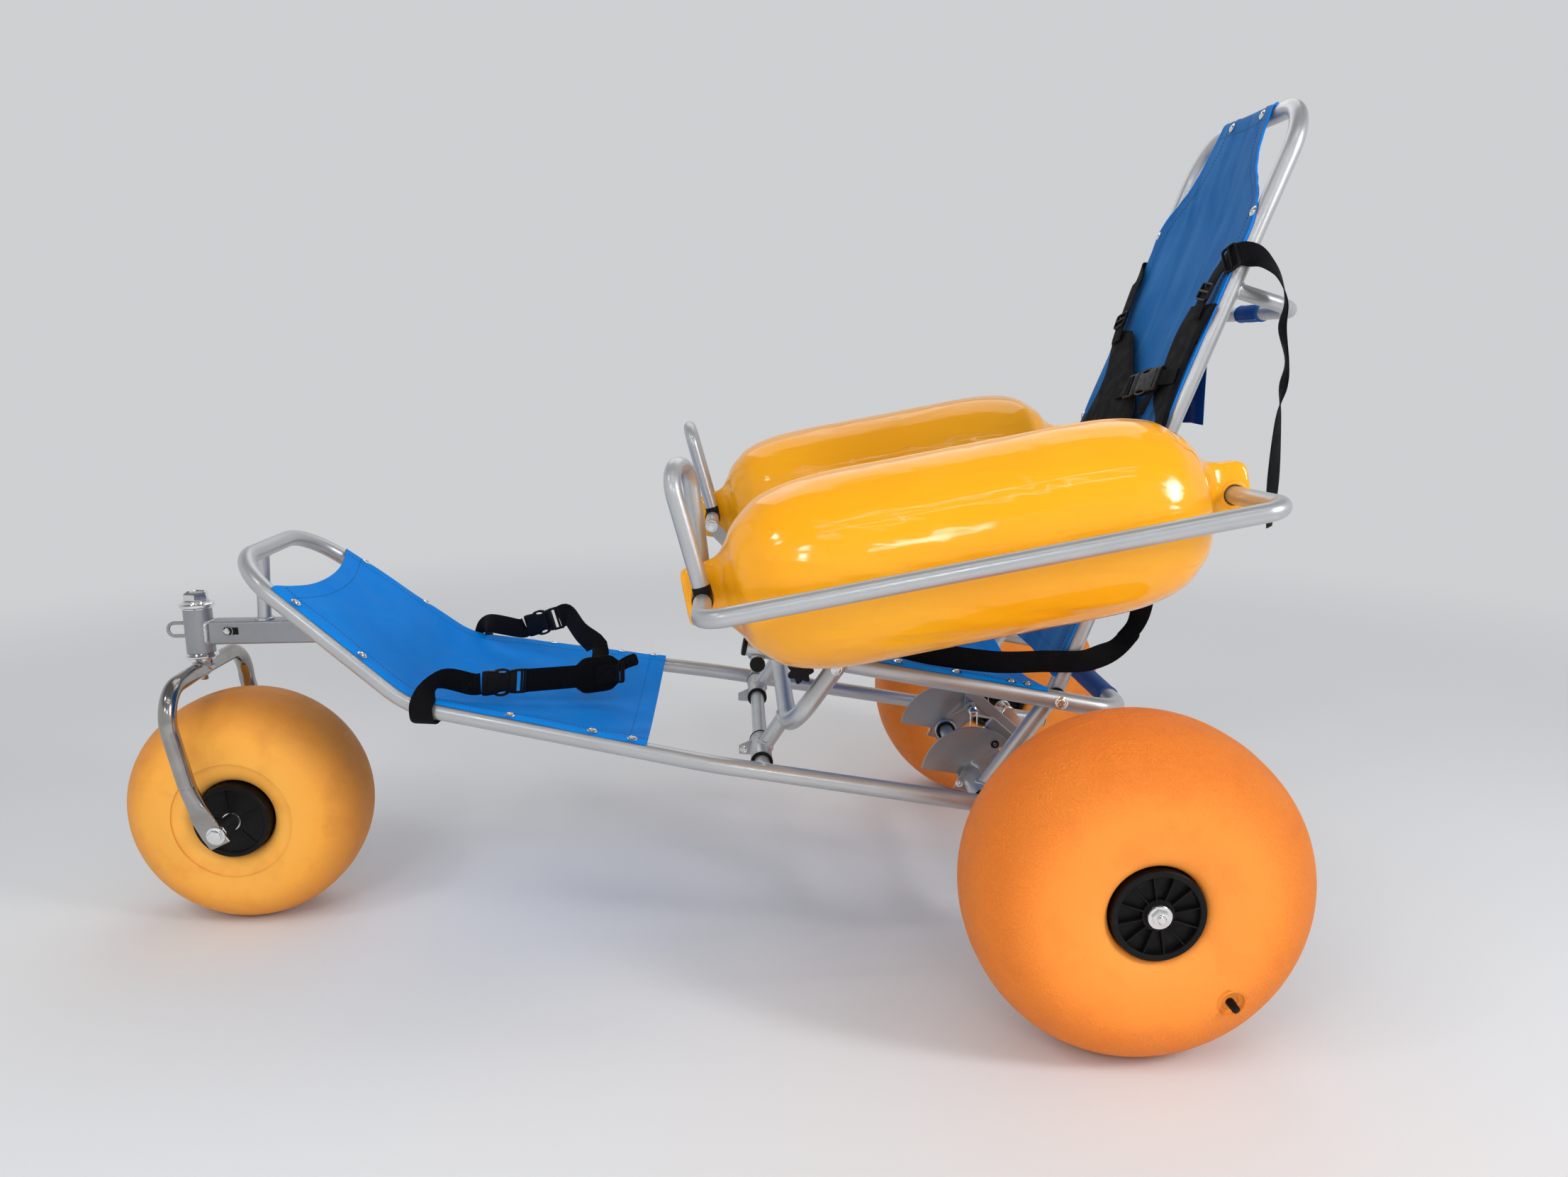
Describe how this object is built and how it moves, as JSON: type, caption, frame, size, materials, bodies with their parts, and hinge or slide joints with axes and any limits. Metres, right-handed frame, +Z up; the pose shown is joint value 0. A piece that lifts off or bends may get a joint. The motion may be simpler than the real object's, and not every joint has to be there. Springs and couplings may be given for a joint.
{
  "type": "floating beach wheelchair",
  "caption": "Reclining beach wheelchair on soft balloon wheels with a front caster, bent tube frame, blue slings and fender floats as armrests.",
  "frame": {"origin": "on the floor, under the middle of the whole object's box", "axes": "+X towards the rear (push handle), -X towards the caster, -Y the side nearest in the picture (the sitter's left), +Z up"},
  "size_m": [1.9788, 1.247, 1.3635],
  "materials": {
    "silver_paint": "silver metallic paint on aluminium tube",
    "grey_paint": "grey metallic paint on aluminium",
    "stainless": "polished stainless steel",
    "chrome": "bright plating",
    "black_plastic": "moulded black plastic",
    "webbing": "black polypropylene webbing",
    "blue_cloth": "coated blue fabric",
    "blue_cover": "dark blue foam sleeve cover",
    "orange_rubber": "orange soft polyurethane with a fine leathery grain",
    "yellow_vinyl": "glossy golden yellow vinyl"
  },
  "bodies": {
    "chassis": {"chassis_frame": "silver_paint", "receiver_tube": "grey_paint", "index_arm_left": "grey_paint", "index_arm_right": "grey_paint", "foot_sling": "blue_cloth", "calf_strap_left": "webbing", "calf_strap_right": "webbing", "calf_buckle_left": "black_plastic", "calf_buckle_right": "black_plastic", "calf_band": "webbing", "rear_axle_left": "chrome", "rear_axle_right": "chrome"},
    "neck": {"neck_tube": "grey_paint", "headset_cup_upper": "chrome", "headset_race_lower": "chrome"},
    "neck_pin": {"neck_lock_pin": "chrome"},
    "caster": {"caster_fork": "stainless", "headset_nut": "chrome", "front_axle": "chrome"},
    "front_wheel": {"front_tyre": "orange_rubber", "front_hub": "black_plastic"},
    "rear_wheel_left": {"rear_tyre_left": "orange_rubber", "rear_hub_left": "black_plastic"},
    "rear_wheel_right": {"rear_tyre_right": "orange_rubber", "rear_hub_right": "black_plastic"},
    "link": {"front_link": "silver_paint", "link_plug_left": "black_plastic", "link_plug_right": "black_plastic"},
    "backrest": {"backrest_frame": "silver_paint", "handle_cover": "blue_cover", "back_sling": "blue_cloth", "sector_plate_left": "grey_paint", "sector_plate_right": "grey_paint", "harness_panel_left": "webbing", "harness_panel_right": "webbing", "shoulder_strap_left": "webbing", "shoulder_strap_right": "webbing", "chest_buckle": "black_plastic"},
    "seat": {"seat_frame": "silver_paint", "seat_sling": "blue_cloth", "seat_cap_left": "black_plastic", "seat_cap_right": "black_plastic", "hip_belt_left": "webbing", "hip_belt_right": "webbing"},
    "knob_left": {"star_knob_left": "black_plastic"},
    "plunger_left": {"index_plunger_left": "chrome"},
    "ring_left": {"pull_ring_left": "chrome"},
    "arm_pivot_left": {"armrest_pivot_left": "grey_paint"},
    "armrest_left": {"armrest_frame_left": "silver_paint", "hand_loop_left": "silver_paint", "float_left": "yellow_vinyl"},
    "brace_left": {"brace_left": "stainless"},
    "knob_right": {"star_knob_right": "black_plastic"},
    "plunger_right": {"index_plunger_right": "chrome"},
    "ring_right": {"pull_ring_right": "chrome"},
    "arm_pivot_right": {"armrest_pivot_right": "grey_paint"},
    "armrest_right": {"armrest_frame_right": "silver_paint", "hand_loop_right": "silver_paint", "float_right": "yellow_vinyl"},
    "brace_right": {"brace_right": "stainless"}
  },
  "joints": [
    {"name": "neck_slide", "type": "slide", "parent": "chassis", "child": "neck", "axis": [-1, 0, 0], "range_m": [0, 0.06]},
    {"name": "neck_pin_pull", "type": "slide", "parent": "chassis", "child": "neck_pin", "axis": [0, -1, 0], "range_m": [0, 0.006], "stiffness_N_per_m": 800},
    {"name": "caster_swivel", "type": "hinge", "parent": "neck", "child": "caster", "pos_m": [-0.84855, 0, 0.46], "axis": [0, 0, 1], "continuous": true},
    {"name": "front_wheel_spin", "type": "hinge", "parent": "caster", "child": "front_wheel", "pos_m": [-0.78475, 0, 0.2047], "axis": [0, 1, 0], "continuous": true},
    {"name": "backrest_recline", "type": "hinge", "parent": "chassis", "child": "backrest", "pos_m": [0.48245, 0, 0.266], "axis": [0, -1, 0], "range_deg": [0, 12]},
    {"name": "seat_hinge", "type": "hinge", "parent": "backrest", "child": "seat", "pos_m": [0.59965, 0, 0.4305], "axis": [0, -1, 0], "range_deg": [-12, 0]},
    {"name": "link_swing", "type": "hinge", "parent": "chassis", "child": "link", "pos_m": [0.12085, 0, 0.338], "axis": [0, -1, 0], "range_deg": [0, 12]},
    {"name": "rear_wheel_spin_left", "type": "hinge", "parent": "chassis", "child": "rear_wheel_left", "pos_m": [0.63845, -0.5, 0.245], "axis": [0, 1, 0], "continuous": true},
    {"name": "arm_level_left", "type": "hinge", "parent": "backrest", "child": "arm_pivot_left", "pos_m": [0.78055, -0.2035, 0.7828], "axis": [0, -1, 0], "range_deg": [-4.2, 0]},
    {"name": "armrest_lift_left", "type": "hinge", "parent": "arm_pivot_left", "child": "armrest_left", "pos_m": [0.78055, -0.2125, 0.7828], "axis": [0, 1, 0], "range_deg": [0, 70]},
    {"name": "brace_swing_left", "type": "hinge", "parent": "armrest_left", "child": "brace_left", "pos_m": [0.03845, -0.2535, 0.65], "axis": [0, -1, 0], "range_deg": [0, 16]},
    {"name": "star_knob_turn_left", "type": "hinge", "parent": "seat", "child": "knob_left", "pos_m": [0.18195, -0.2665, 0.4975], "axis": [0, -1, 0], "continuous": true},
    {"name": "plunger_slide_left", "type": "slide", "parent": "chassis", "child": "plunger_left", "axis": [0, -1, 0], "range_m": [0, 0.008]},
    {"name": "pull_ring_swing_left", "type": "hinge", "parent": "plunger_left", "child": "ring_left", "pos_m": [0.52195, -0.0505, 0.3245], "axis": [1, 0, 0], "range_deg": [0, 75]},
    {"name": "rear_wheel_spin_right", "type": "hinge", "parent": "chassis", "child": "rear_wheel_right", "pos_m": [0.63845, 0.5, 0.245], "axis": [0, 1, 0], "continuous": true},
    {"name": "arm_level_right", "type": "hinge", "parent": "backrest", "child": "arm_pivot_right", "pos_m": [0.78055, 0.2035, 0.7828], "axis": [0, -1, 0], "range_deg": [-4.2, 0]},
    {"name": "armrest_lift_right", "type": "hinge", "parent": "arm_pivot_right", "child": "armrest_right", "pos_m": [0.78055, 0.2125, 0.7828], "axis": [0, 1, 0], "range_deg": [0, 70]},
    {"name": "brace_swing_right", "type": "hinge", "parent": "armrest_right", "child": "brace_right", "pos_m": [0.03845, 0.2535, 0.65], "axis": [0, -1, 0], "range_deg": [0, 16]},
    {"name": "star_knob_turn_right", "type": "hinge", "parent": "seat", "child": "knob_right", "pos_m": [0.18195, 0.2665, 0.4975], "axis": [0, 1, 0], "continuous": true},
    {"name": "plunger_slide_right", "type": "slide", "parent": "chassis", "child": "plunger_right", "axis": [0, 1, 0], "range_m": [0, 0.008]},
    {"name": "pull_ring_swing_right", "type": "hinge", "parent": "plunger_right", "child": "ring_right", "pos_m": [0.52195, 0.0505, 0.3245], "axis": [-1, 0, 0], "range_deg": [0, 75]}
  ],
  "couplings": [
    {"joint": "seat_hinge", "follows": "backrest_recline", "ratio": -1},
    {"joint": "link_swing", "follows": "backrest_recline", "ratio": 1},
    {"joint": "arm_level_left", "follows": "backrest_recline", "ratio": -0.3471},
    {"joint": "brace_swing_left", "follows": "backrest_recline", "ratio": 1.3292},
    {"joint": "arm_level_right", "follows": "backrest_recline", "ratio": -0.3471},
    {"joint": "brace_swing_right", "follows": "backrest_recline", "ratio": 1.3292}
  ]
}
